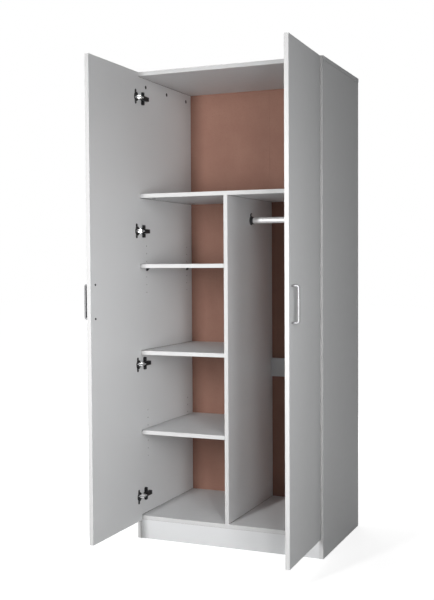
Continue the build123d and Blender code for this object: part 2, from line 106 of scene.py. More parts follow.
class Shading:
    """A material under construction, with its principled shader and pattern coordinates."""

    def __init__(self, name: str) -> None:
        """Start a material.

        Args:
            name: Name of the material.
        """
        self.material = bpy.data.materials.new(name)
        self.material.use_nodes = True
        self.tree = self.material.node_tree
        self.shader = self.tree.nodes["Principled BSDF"]
        self.place = self.node("ShaderNodeTexCoord").outputs["Object"]

    def node(self, kind: str, inputs: dict | None = None, **settings) -> bpy.types.ShaderNode:
        """Add a node.

        Args:
            kind: Blender's name of the node type.
            inputs: Values or sockets for the inputs, by name or number.
            settings: Properties of the node itself.

        Returns:
            The new node.
        """
        made = self.tree.nodes.new(kind)
        for key, value in settings.items():
            setattr(made, key, value)
        self.feed(made, inputs or {})
        return made

    def feed(self, node: bpy.types.ShaderNode, inputs: dict) -> None:
        """Set or link the inputs of a node.

        Args:
            node: The node that takes the values.
            inputs: Values or sockets, by the input's name or number.
        """
        for key, value in inputs.items():
            if isinstance(value, bpy.types.NodeSocket):
                self.tree.links.new(value, node.inputs[key])
            else:
                node.inputs[key].default_value = value

    def noise(
        self, scale: float, detail: Detail = Detail.SOME, grain: Grain = Grain.EVEN
    ) -> bpy.types.NodeSocket:
        """Noise in the object's own metres.

        Args:
            scale: Repeats to the metre.
            detail: Number of finer layers.
            grain: Direction in which the pattern is drawn out.

        Returns:
            The noise value, around one half.
        """
        place = self.place
        if grain is not Grain.EVEN:
            place = self.node("ShaderNodeMapping", {"Vector": place, "Scale": grain.value}).outputs[0]
        inputs = {"Vector": place, "Scale": scale, "Detail": detail.value}
        return self.node("ShaderNodeTexNoise", inputs).outputs[0]

    def span(self, value: bpy.types.NodeSocket, low: float, high: float) -> bpy.types.NodeSocket:
        """Stretch a noise value's middle part over a new range.

        Args:
            value: The noise value.
            low: Result for a weak noise.
            high: Result for a strong noise.

        Returns:
            The new value.
        """
        source = {"Value": value, "From Min": NOISE_WEAK, "From Max": NOISE_STRONG}
        return self.node("ShaderNodeMapRange", {**source, "To Min": low, "To Max": high}).outputs[0]

    def blend(self, share: bpy.types.NodeSocket, first, second) -> bpy.types.NodeSocket:
        """Mix two colours.

        Args:
            share: How much of the second colour shows.
            first: Colour or socket at share 0.
            second: Colour or socket at share 1.

        Returns:
            The mixed colour.
        """
        mixer = self.node("ShaderNodeMix", data_type="RGBA")
        tones = {MIX_FIRST: first, MIX_SECOND: second}
        inputs = {key: (*tone, 1.0) if isinstance(tone, tuple) else tone for key, tone in tones.items()}
        self.feed(mixer, {MIX_SHARE: share, **inputs})
        return mixer.outputs[MIX_RESULT]

    def relief(self, height: bpy.types.NodeSocket, depth: float, strength: float) -> None:
        """Raise a fine bump on the surface.

        Args:
            height: Height pattern.
            depth: Height of the pattern in metres.
            strength: Strength of the bump.
        """
        inputs = {"Height": height, "Distance": depth, "Strength": strength}
        bump = self.node("ShaderNodeBump", inputs)
        self.feed(self.shader, {"Normal": bump.outputs[0]})


# Finishes


@dataclass(frozen=True)
class BoardFinish:
    """Melamine face of white board: a faint drift of tone over a fine pearl texture."""

    name: str = "white_board"
    tone: Colour = (0.614, 0.620, 0.627)
    drift: float = 0.975
    clouds: float = 2.3
    pearl: float = 700.0
    pearl_share: float = 0.35
    polish: float = 38.0
    gloss: tuple[float, float] = (0.40, 0.50)
    specular: float = 0.15
    relief_depth: float = 0.00012
    relief_strength: float = 0.25

    def material(self) -> bpy.types.Material:
        """Build the finish."""
        work = Shading(self.name)
        low = tuple(self.drift * part for part in self.tone)
        cloud = work.span(work.noise(self.clouds, Detail.FEW), 0.0, 1.0)
        pearl = work.noise(self.pearl, Detail.FEW)
        colour = work.blend(cloud, low, self.tone)
        speck = work.span(pearl, 0.0, self.pearl_share)
        work.feed(work.shader, {"Base Color": work.blend(speck, colour, low)})
        work.feed(work.shader, {"Roughness": work.span(work.noise(self.polish), *self.gloss)})
        work.feed(work.shader, {"Specular IOR Level": self.specular})
        work.relief(pearl, self.relief_depth, self.relief_strength)
        return work.material


@dataclass(frozen=True)
class HardboardFinish:
    """Bare hardboard: pressed brown fibre, mottled and flecked."""

    name: str = "hardboard"
    pale: Colour = (0.303, 0.164, 0.123)
    deep: Colour = (0.268, 0.139, 0.104)
    fleck: Colour = (0.196, 0.096, 0.071)
    fibre: float = 520.0
    mottle: float = 9.0
    thread_share: float = 0.35
    fleck_limits: tuple[float, float] = (0.60, 0.72)
    gloss: tuple[float, float] = (0.62, 0.85)
    specular: float = 0.25
    relief_depth: float = 0.0003
    relief_strength: float = 0.35

    def material(self) -> bpy.types.Material:
        """Build the finish."""
        work = Shading(self.name)
        cloud = work.span(work.noise(self.mottle, Detail.MOST), 0.0, 1.0)
        fibre = work.noise(self.fibre, Detail.MANY)
        colour = work.blend(cloud, self.deep, self.pale)
        threads = work.noise(self.fibre / 2, Detail.SOME, Grain.ALONG_Z)
        colour = work.blend(work.span(threads, 0.0, self.thread_share), colour, self.deep)
        least, most = self.fleck_limits
        flecks = work.node("ShaderNodeMapRange", {"Value": fibre, "From Min": least, "From Max": most})
        work.feed(work.shader, {"Base Color": work.blend(flecks.outputs[0], colour, self.fleck)})
        work.feed(work.shader, {"Roughness": work.span(fibre, *self.gloss)})
        work.feed(work.shader, {"Specular IOR Level": self.specular})
        work.relief(fibre, self.relief_depth, self.relief_strength)
        return work.material


@dataclass(frozen=True)
class MetalFinish:
    """Metal with fine brushed streaks and a little uneven polish."""

    name: str
    tone: Colour
    gloss: tuple[float, float]
    grain: Grain = Grain.EVEN
    streaks: float = 1500.0
    metallic: float = 1.0
    specular: float = 0.5
    smears: float = 60.0
    smear_share: float = 0.5
    dulling: float = 0.82
    relief_depth: float = 0.00004
    relief_strength: float = 0.2

    def material(self) -> bpy.types.Material:
        """Build the finish."""
        work = Shading(self.name)
        streak = work.noise(self.streaks, Detail.FEW, self.grain)
        smear = work.span(work.noise(self.smears, Detail.MANY), 0.0, self.smear_share)
        dull = tuple(self.dulling * part for part in self.tone)
        work.feed(work.shader, {"Base Color": work.blend(smear, self.tone, dull)})
        work.feed(work.shader, {"Roughness": work.span(streak, *self.gloss), "Metallic": self.metallic})
        work.feed(work.shader, {"Specular IOR Level": self.specular})
        work.relief(streak, self.relief_depth, self.relief_strength)
        return work.material


@dataclass(frozen=True)
class PlasticFinish:
    """Moulded plastic with a fine grained skin."""

    name: str
    tone: Colour
    gloss: tuple[float, float] = (0.38, 0.52)
    specular: float = 0.2
    grain: float = 1800.0
    polish: float = 250.0
    wear_gain: float = 1.5
    wear_lift: float = 0.004
    wear_share: float = 0.6
    relief_depth: float = 0.00005
    relief_strength: float = 0.3

    def material(self) -> bpy.types.Material:
        """Build the finish."""
        work = Shading(self.name)
        grain = work.noise(self.grain, Detail.FEW)
        worn = tuple(self.wear_gain * part + self.wear_lift for part in self.tone)
        wear = work.span(grain, 0.0, self.wear_share)
        work.feed(work.shader, {"Base Color": work.blend(wear, self.tone, worn)})
        work.feed(work.shader, {"Roughness": work.span(work.noise(self.polish), *self.gloss)})
        work.feed(work.shader, {"Specular IOR Level": self.specular})
        work.relief(grain, self.relief_depth, self.relief_strength)
        return work.material


@dataclass(frozen=True)
class TimberFinish:
    """Bare wood with short dark rays along its grain."""

    name: str = "beech"
    pale: Colour = (0.62, 0.42, 0.25)
    deep: Colour = (0.45, 0.27, 0.14)
    rays: float = 600.0
    gloss: tuple[float, float] = (0.5, 0.7)
    relief_depth: float = 0.0001
    relief_strength: float = 0.3

    def material(self) -> bpy.types.Material:
        """Build the finish."""
        work = Shading(self.name)
        rays = work.noise(self.rays, Detail.MANY, Grain.ALONG_X)
        work.feed(work.shader, {"Base Color": work.blend(work.span(rays, 0.0, 1.0), self.pale, self.deep)})
        work.feed(work.shader, {"Roughness": work.span(rays, *self.gloss)})
        work.relief(rays, self.relief_depth, self.relief_strength)
        return work.material


Finish = BoardFinish | HardboardFinish | MetalFinish | PlasticFinish | TimberFinish

BOARD = BoardFinish()
# The edge band is a darker copy of the board's white: painted shade that tones down the brightly lit front
# edges.
BAND = BoardFinish("edge_band", tone=(0.54, 0.54, 0.54), drift=0.985, gloss=(0.32, 0.40))
HARDBOARD = HardboardFinish()
RAIL_CHROME = MetalFinish("rail_chrome", (0.92, 0.92, 0.92), (0.30, 0.42), Grain.ALONG_X, metallic=0.35)
BRACKET_METAL = MetalFinish("bracket_metal", (0.06, 0.06, 0.063), (0.40, 0.55), metallic=0.2, specular=0.3)
SCREW_STEEL = MetalFinish("screw_steel", (0.62, 0.62, 0.63), (0.28, 0.42))
SCREW_DARK = MetalFinish("screw_dark", (0.018, 0.018, 0.019), (0.40, 0.55), metallic=0.2, specular=0.3)
CAM_METAL = MetalFinish("cam_metal", (0.018, 0.018, 0.019), (0.40, 0.55), metallic=0.2, specular=0.3)
HANDLE_METAL = MetalFinish("handle_metal", (0.24, 0.24, 0.245), (0.42, 0.52), Grain.ALONG_Z)
HINGE_DARK = MetalFinish("hinge_dark", (0.010, 0.010, 0.011), (0.42, 0.58), metallic=0.0, specular=0.25)
LINK_STEEL = MetalFinish("link_steel", (0.90, 0.90, 0.91), (0.20, 0.32))
PIN_PLASTIC = PlasticFinish("pin_plastic", (0.008, 0.008, 0.009))
BEECH = TimberFinish()
# Raw board core darkened far below real chipboard: painted shade for the insides of pin holes and for
# hairline gaps.
CORE_PAINTED_SHADE = TimberFinish("board_core_painted_shade", pale=(0.075, 0.055, 0.042), deep=(0.035, 0.026, 0.020))

paint_shop: dict[str, bpy.types.Material] = {}


def finish_material(finish: Finish) -> bpy.types.Material:
    """Material of a finish, built on first use.

    Args:
        finish: The finish.

    Returns:
        Its one material.
    """
    if finish.name not in paint_shop:
        paint_shop[finish.name] = finish.material()
    return paint_shop[finish.name]


# Computed surfaces


@dataclass(frozen=True)
class Seat:
    """Where a small piece sits: a point on a face, with the piece's Z standing out of the face."""

    origin: np.ndarray
    out: np.ndarray
    up: np.ndarray

    def place(self, grid: Grid) -> Grid:
        """Carry a grid of local points to the seat.

        Args:
            grid: Points in the piece's own axes, with the last dimension X, Y and Z.

        Returns:
            origin + x * (up x out) + y * up + z * out, for every point.
        """
        axes = np.stack([np.cross(self.up, self.out), self.up, self.out])
        return self.origin + grid @ axes


def vector(*parts: float) -> np.ndarray:
    """Array of three coordinates."""
    return np.array(parts, dtype=float)


UP = vector(0, 0, 1)
FRONT = vector(0, -1, 0)


def superellipse(width: float, height: float, power: float, steps: int) -> np.ndarray:
    """Closed section with soft corners.

    The point at angle t is (w/2 * c^(2/p), h/2 * s^(2/p)), with c and s the cosine and sine of t and
    each power taken of the size and given the sign.

    Args:
        width: Full width.
        height: Full height.
        power: Squareness, where 2 is an ellipse.
        steps: Number of points.

    Returns:
        Points, one to a row.
    """
    angle = np.linspace(0, 2 * np.pi, steps, endpoint=False) + np.pi / steps
    wave = np.stack([np.cos(angle), np.sin(angle)], axis=1)
    return np.sign(wave) * np.abs(wave) ** (2 / power) * np.array([width, height]) / 2


def swept(path: np.ndarray, section: np.ndarray, across: np.ndarray) -> Grid:
    """Carry a closed section along a flat path and close both ends.

    Point (i, j) is path(i) + a(j) * across + b(j) * (across x tangent(i)). The first and last rows
    shrink to the ends of the path.

    Args:
        path: Points along the path, in a plane square to across.
        section: Section points as offsets across and off the path.
        across: Unit vector square to the path's plane.

    Returns:
        Grid of points along the path and round the section.
    """
    tangent = np.gradient(path, axis=0)
    tangent /= np.linalg.norm(tangent, axis=1, keepdims=True)
    off = np.cross(across, tangent)
    rings = path[:, None] + section[None, :, :1] * across + section[None, :, 1:] * off[:, None]
    ends = np.broadcast_to(path[[0, -1], None], (2, *rings.shape[1:]))
    return np.concatenate([ends[:1], rings, ends[1:]])


def turned(profile: np.ndarray, steps: int) -> Grid:
    """Turn a profile round Z: point (i, j) is (r(i) cos t(j), r(i) sin t(j), z(i)).

    Args:
        profile: Radius and height, one point to a row.
        steps: Number of points round.

    Returns:
        Grid of points along the profile and round the axis.
    """
    angle = np.linspace(0, 2 * np.pi, steps, endpoint=False)
    radius, height = profile[:, :1], profile[:, 1:]
    return np.stack(np.broadcast_arrays(radius * np.cos(angle), radius * np.sin(angle), height), axis=-1)


def stacked(section: np.ndarray, profile: np.ndarray) -> Grid:
    """Stack scaled copies of a section: point (i, j) is (s(i) a(j), s(i) b(j), z(i)).

    Args:
        section: Closed section, one point to a row.
        profile: Scale and height of each copy, one to a row.

    Returns:
        Grid of points along the profile and round the section.
    """
    scale, height = profile[:, :1], profile[:, 1:]
    return np.stack(np.broadcast_arrays(scale * section[:, 0], scale * section[:, 1], height), axis=-1)


@dataclass(frozen=True)
class EdgeBand:
    """Thin strip with soft corners that covers the edge of a board."""

    thickness: float = 0.0004
    squareness: float = 9.0

    def strip(self, ends: np.ndarray, width: float, across: np.ndarray) -> Grid:
        """Band along one edge.

        Args:
            ends: Both ends of the edge's middle line.
            width: Width of the edge.
            across: Unit vector over the edge's width.

        Returns:
            Closed strip that stands half its section out of the edge.
        """
        section = superellipse(width, 2 * self.thickness, self.squareness, SECTION_STEPS)
        return swept(ends, section, across)


EDGE_BAND = EdgeBand()


@dataclass(frozen=True)
class DrivenHead:
    """Domed head of a screw or cam with a cross recess, standing on Z = 0."""

    radius: float
    height: float
    cross_width: float
    cross_length: float
    depth: float
    power: float = 3.0
    sink: float = 0.0003
    rings: int = 16
    steps: int = 48

    def grid(self) -> Grid:
        """Surface of the head.

        The dome is z = h (1 - (r/R)^p)^(1/p), with r = R sin(u) spread over a quarter turn of u. The
        cross lowers it by depth * max(bar(x, y), bar(y, x)), where bar falls from one to zero at the
        edges of a straight slot. A base ring and the base's centre close it below the face.
        """
        spread = self.radius * np.sin(np.linspace(0, np.pi / 2, self.rings))
        dome = self.height * (1 - (spread / self.radius) ** self.power).clip(0) ** (1 / self.power)
        base = np.array([[self.radius, -self.sink], [0.0, -self.sink]])
        grid = turned(np.concatenate([np.stack([spread, dome], axis=1), base]), self.steps)
        x, y = np.abs(grid[..., 0]), np.abs(grid[..., 1])
        soft = self.cross_width / 2

        def bar(across: np.ndarray, along: np.ndarray) -> np.ndarray:
            """Share of a slot's depth at a point."""
            inside = ((self.cross_width - across) / soft + 0.5).clip(0, 1)
            return inside * ((self.cross_length - along) / soft + 0.5).clip(0, 1)

        grid[: self.rings, :, 2] -= self.depth * np.maximum(bar(x, y), bar(y, x))[: self.rings]
        return grid


def mesh_object(name: str, copies: Grid, ring: bool = False, sharp: float = 40.0) -> bpy.types.Object:
    """Make one object of several like grids, each closed round its columns.

    Args:
        name: Name of the piece.
        copies: Points as copies x rows x columns x 3.
        ring: True if the rows close on themselves too.
        sharp: Angle in degrees past which an edge stays sharp.

    Returns:
        The object, at the origin.
    """
    count, rows, columns, _ = copies.shape
    i, j = np.meshgrid(np.arange(rows if ring else rows - 1), np.arange(columns), indexing="ij")
    below, beside = (i + 1) % rows, (j + 1) % columns
    corners = [(i, j), (i, beside), (below, beside), (below, j)]
    quads = np.stack([row * columns + column for row, column in corners], axis=-1)
    starts = np.arange(count)[:, None, None] * rows * columns
    faces = (quads.reshape(1, -1, 4) + starts).reshape(-1, 4)
    mesh = bpy.data.meshes.new(name)
    mesh.from_pydata(copies.reshape(-1, 3), [], faces)
    work = bmesh.new()
    work.from_mesh(mesh)
    bmesh.ops.remove_doubles(work, verts=work.verts, dist=WELD_DISTANCE)
    bmesh.ops.recalc_face_normals(work, faces=work.faces)
    work.to_mesh(mesh)
    work.free()
    mesh.polygons.foreach_set("use_smooth", np.ones(len(mesh.polygons), dtype=bool))
    mesh.set_sharp_from_angle(angle=math.radians(sharp))
    made = bpy.data.objects.new(name, mesh)
    bpy.context.scene.collection.objects.link(made)
    return made


# The construction as it was packed


def node_box(node: str) -> tuple[np.ndarray, np.ndarray]:
    """Lowest and highest corner of a node as arrays."""
    low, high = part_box(node)
    return np.array(low), np.array(high)


def node_points(node: str) -> np.ndarray:
    """Every vertex of a node, one to a row."""
    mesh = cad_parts[node].data
    flat = np.empty(3 * len(mesh.vertices), dtype=np.float32)
    mesh.vertices.foreach_get("co", flat)
    return flat.reshape(-1, 3).astype(float)


def middles(values: np.ndarray, gap: float = 0.1) -> list[float]:
    """Middles of the groups that numbers form on a line.

    Args:
        values: The numbers.
        gap: Least clear distance between two groups.

    Returns:
        One middle to a group, from the lowest up.
    """
    ordered = np.unique(values.round(5))
    groups = np.split(ordered, np.flatnonzero(np.diff(ordered) > gap) + 1)
    return [float(group[0] + group[-1]) / 2 for group in groups]


def levels(node: str) -> list[float]:
    """Middle heights of the solids that a node holds one above another."""
    return middles(node_points(node)[:, 2])


def inner_face(hand: Hand) -> float:
    """Place along X of the inner face of a side."""
    low, high = node_box(f"side_{hand.word}")
    return low[0] if hand is Hand.RIGHT else high[0]


class Assembly:
    """Base of the sub-assemblies, which dress nodes and add pieces to bodies."""

    def dress(self, finish: Finish, *nodes: str) -> None:
        """Give nodes of the construction their finish.

        Args:
            finish: The finish.
            nodes: Names of the nodes.
        """
        for node in nodes:
            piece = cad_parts[node]
            if not piece.material_slots:
                piece.data.materials.append(None)
            for slot in piece.material_slots:
                slot.material = finish_material(finish)
            log.info("dressed %s in %s", node, finish.name)

    def add(
        self, name: str, copies: list[Grid], finish: Finish, body: str, slot: str, ring: bool = False
    ) -> bpy.types.Object:
        """Add a piece made of like grids and let it ride on a body.

        Args:
            name: Name of the piece.
            copies: Grids of points in place.
            finish: Finish of the piece.
            body: Body that carries it.
            slot: Material slot of the record for the piece; not used.
            ring: True if the grids close along their rows too.

        Returns:
            The new object.
        """
        piece = mesh_object(name, np.stack(copies), ring)
        piece.data.materials.append(finish_material(finish))
        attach(piece, body)
        log.info("added %s with %d faces", name, len(piece.data.polygons))
        return piece


# Sub-assemblies


@dataclass
class Carcass(Assembly):
    """Boards between floor and top, with their edge bands, cam locks, pin holes and painted shade in
    hairline gaps.
    """

    body: str = "carcass"
    cam_face: DrivenHead = DrivenHead(0.0076, 0.0004, 0.0011, 0.0046, 0.0012, power=12.0)
    cam_front_inset: float = 0.072
    cam_rear_inset: float = 0.051
    cam_edge: float = 0.034
    cam_columns: int = 3
    hole_pitch: float = 0.032
    hole_rows: int = 3
    hole_radius: float = 0.0023
    hole_depth: float = 0.0098
    hole_steps: int = 24
    lining: float = 0.0002
    peg_reach: float = 0.004
    gap_radius: float = 0.0007
    gap_inset: float = 0.001
    gap_steps: int = 12
    touch: float = 1e-6

    boards = (
        "side_left", "side_right", "top_panel", "bottom_panel", "fixed_shelf", "divider",
        "middle_shelf", "upper_shelf", "lower_shelf",
    )
    plain_boards = ("kickboard", "rear_brace")
    butted_boards = (
        ("side_left", 1, ("top_panel", "fixed_shelf", "middle_shelf", "bottom_panel")),
        ("divider", -1, ("fixed_shelf", "middle_shelf", "bottom_panel")),
        ("divider", 1, ("fixed_shelf", "bottom_panel")),
        ("side_right", -1, ("top_panel", "fixed_shelf", "bottom_panel")),
    )

    def build(self) -> None:
        """Dress the boards and add their small pieces."""
        self.dress(BOARD, *self.boards, *self.plain_boards)
        self.dress(CAM_METAL, "cam_locks")
        self.dress(SCREW_STEEL, "cam_bolts")
        self.dress(BEECH, "dowels")
        self.dress(PIN_PLASTIC, "shelf_pins")
        self.bands()
        self.cam_faces()
        self.hole_linings()
        self.gap_shade_lines()

    def bands(self) -> None:
        """Cover the front edges of the boards with a soft-cornered band."""
        strips = [self.front_band(board) for board in self.boards]
        self.add("carcass_edge_bands", strips, BAND, self.body, "white_board")

    def front_band(self, board: str) -> Grid:
        """Band along the front edge of a board.

        Args:
            board: Name of the board's node.

        Returns:
            Closed strip along the longer side of the front edge.
        """
        low, high = node_box(board)
        level = (high[0] - low[0]) > (high[2] - low[2])
        along, across = (vector(1, 0, 0), UP) if level else (UP, vector(1, 0, 0))
        middle = (low + high) / 2
        middle[1] = low[1]
        half = (high - low) @ along / 2
        ends = np.stack([middle - half * along, middle + half * along])
        return EDGE_BAND.strip(ends, (high - low) @ across, across)

    def gap_shade_lines(self) -> None:
        """Lay thin dark strips in the corners where boards meet: painted shade of the hairline gaps there.
        """
        section = superellipse(2 * self.gap_radius, 2 * self.gap_radius, ROUND, self.gap_steps)
        lines = [swept(ends, section, UP) for upright, side, boards in self.butted_boards
                 for board in boards for ends in self.corners(upright, side, board)]
        lines += [swept(ends, section, FRONT) for ends in self.kickboard_corners()]
        self.add("board_gap_shade", lines, CORE_PAINTED_SHADE, self.body, "hardboard")

    def kickboard_corners(self) -> list[np.ndarray]:
        """Ends of the corner lines at both ends of the kickboard and under the bottom panel's lip."""
        low, high = node_box("kickboard")
        lip = (low[1] + node_box("bottom_panel")[0][1]) / 2
        foot, head = low[2] + self.gap_inset, high[2] - self.gap_inset
        upright = [np.array([[x, low[1], foot], [x, low[1], head]]) for x in (low[0], high[0])]
        return upright + [np.array([[low[0], lip, high[2]], [high[0], lip, high[2]]])]

    def corners(self, upright: str, side: int, board: str) -> list[np.ndarray]:
        """Ends of the corner lines between one face of an upright board and a level board.

        Args:
            upright: Name of the upright board's node.
            side: Sign of X that the upright board's face looks to.
            board: Name of the level board's node.

        Returns:
            Front and rear end of each line, above and below the level board where both boards reach.
        """
        low, high = node_box(upright)
        face = high[0] if side > 0 else low[0]
        flat_low, flat_high = node_box(board)
        front = max(low[1], flat_low[1]) + self.gap_inset
        rear = min(high[1], flat_high[1]) - self.gap_inset
        least, most = low[2] - self.touch, high[2] + self.touch
        reached = [z for z in (flat_low[2], flat_high[2]) if least < z < most]
        return [np.array([[face, front, z], [face, rear, z]]) for z in reached]

    def cam_faces(self) -> None:
        """Set a cross-slotted face on every cam lock that opens to a board's face."""
        head = self.cam_face.grid()
        low, high = node_box("side_left")
        front, rear = low[1] + self.cam_front_inset, high[1] - self.cam_rear_inset
        columns = np.linspace(front, rear, self.cam_columns)
        height = high[2] - self.cam_edge
        seats = []
        for hand in Hand:
            out = vector(-hand.value, 0, 0)
            seats += [Seat(vector(inner_face(hand), y, height), out, UP) for y in columns]
        for board in ("bottom_panel", "fixed_shelf"):
            low, high = node_box(board)
            ends = (low[0] + self.cam_edge, high[0] - self.cam_edge)
            seats += [Seat(vector(x, y, low[2]), -UP, FRONT) for x in ends for y in (front, rear)]
        self.add("cam_faces", [seat.place(head) for seat in seats], CAM_METAL, self.body, "cam_metal")

    def hole_linings(self) -> None:
        """Line every free shelf-pin hole with the board's brown core, darkened as painted shade of the deep
        hole.
        """
        cup = self.hole_lining()
        sides = {"side_left": vector(1, 0, 0), "divider": vector(-1, 0, 0)}
        seats = [seat for board, out in sides.items() for seat in self.free_holes(board, out)]
        self.add("hole_linings", [seat.place(cup) for seat in seats], CORE_PAINTED_SHADE, self.body, "hardboard")

    def hole_lining(self) -> Grid:
        """Thin cup of radius R and depth d, turned from its outer wall over the lip to its inner wall."""
        radius, depth, wall = self.hole_radius, self.hole_depth, self.lining
        outer = [[0.0, -depth], [radius, -depth], [radius, -wall]]
        inner = [[radius - wall, -wall], [radius - wall, wall - depth], [0.0, wall - depth]]
        return turned(np.array(outer + inner), self.hole_steps)

    def free_holes(self, board: str, out: np.ndarray) -> list[Seat]:
        """Seats on the holes above and below the pegs that stand in a board.

        Args:
            board: Name of the board's node.
            out: Direction that the holes open in.

        Returns:
            One seat to a hole, on the board's face.
        """
        face = max(corner @ out for corner in node_box(board))
        points = node_points("shelf_pins")
        pegs = points[np.abs(points @ out - face + self.hole_depth) < self.peg_reach]
        rows = [row * self.hole_pitch for row in range(-self.hole_rows, self.hole_rows + 1) if row]
        return [
            Seat(face * out + vector(0, y, z + row), out, UP)
            for y in middles(pegs[:, 1])
            for z in middles(pegs[:, 2])
            for row in rows
        ]


@dataclass
class Back(Assembly):
    """Two hardboard sheets and the nails that hold them to the rear edges."""

    body: str = "carcass"
    nail_radius: float = 0.0025
    nail_height: float = 0.0007
    nail_sink: float = 0.0002
    nail_rings: int = 6
    nail_steps: int = 16
    nail_inset: float = 0.005
    end_inset: float = 0.02
    nail_pitch: float = 0.12

    nailed_boards = ("top_panel", "fixed_shelf", "bottom_panel")

    def build(self) -> None:
        """Dress the sheets and nail them."""
        self.dress(HARDBOARD, "back_left", "back_right")
        head = self.nail_head()
        nails = [Seat(place, -FRONT, UP).place(head) for place in self.places()]
        self.add("back_nails", nails, SCREW_STEEL, self.body, "screw_steel")

    def nail_head(self) -> Grid:
        """Low dome r = R sin(u), z = h cos(u) over a quarter turn of u, closed below the face."""
        spread = np.linspace(0, np.pi / 2, self.nail_rings)
        dome = np.stack([self.nail_radius * np.sin(spread), self.nail_height * np.cos(spread)], axis=1)
        under = np.array([[self.nail_radius, -self.nail_sink], [0.0, -self.nail_sink]])
        return turned(np.concatenate([dome, under]), self.nail_steps)

    def places(self) -> list[np.ndarray]:
        """Points of the nails on the rear face, up both edges of each sheet and along the boards behind."""
        points = []
        for sheet in ("back_left", "back_right"):
            low, high = node_box(sheet)
            columns = (low[0] + self.nail_inset, high[0] - self.nail_inset)
            count = round((high[2] - low[2]) / self.nail_pitch)
            heights = np.linspace(low[2] + self.end_inset, high[2] - self.end_inset, count)
            points += [vector(x, high[1], z) for x in columns for z in heights]
            across = np.linspace(low[0], high[0], round((high[0] - low[0]) / self.nail_pitch) + 1)[1:-1]
            rows = [sum(node_box(board))[2] / 2 for board in self.nailed_boards]
            points += [vector(x, high[1], z) for x in across for z in rows]
        return points


@dataclass
class HangingRail(Assembly):
    """Chromed tube in two keyhole brackets."""

    body: str = "carcass"
    wall: float = 0.0012
    lip: float = 0.0004
    steps: int = 64

    def build(self) -> None:
        """Replace the plain tube with a smooth one and dress the brackets."""
        self.dress(BRACKET_METAL, "rail_brackets")
        self.dress(SCREW_STEEL, "rail_bracket_screws")
        low, high = node_box("hanging_rail")
        radius = (high[2] - low[2]) / 2
        length = high[0] - low[0]
        inner = radius - self.wall
        profile = np.array([
            [inner, 0.0], [radius - self.lip, 0.0], [radius, self.lip], [radius, length / 2],
            [radius, length - self.lip], [radius - self.lip, length], [inner, length], [inner, length / 2],
        ])
        start = (low + high) / 2
        start[0] = low[0]
        tube = Seat(start, vector(1, 0, 0), UP).place(turned(profile, self.steps))
        piece = self.add("rail_tube", [tube], RAIL_CHROME, self.body, "rail_chrome", ring=True)
        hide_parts("hanging_rail")


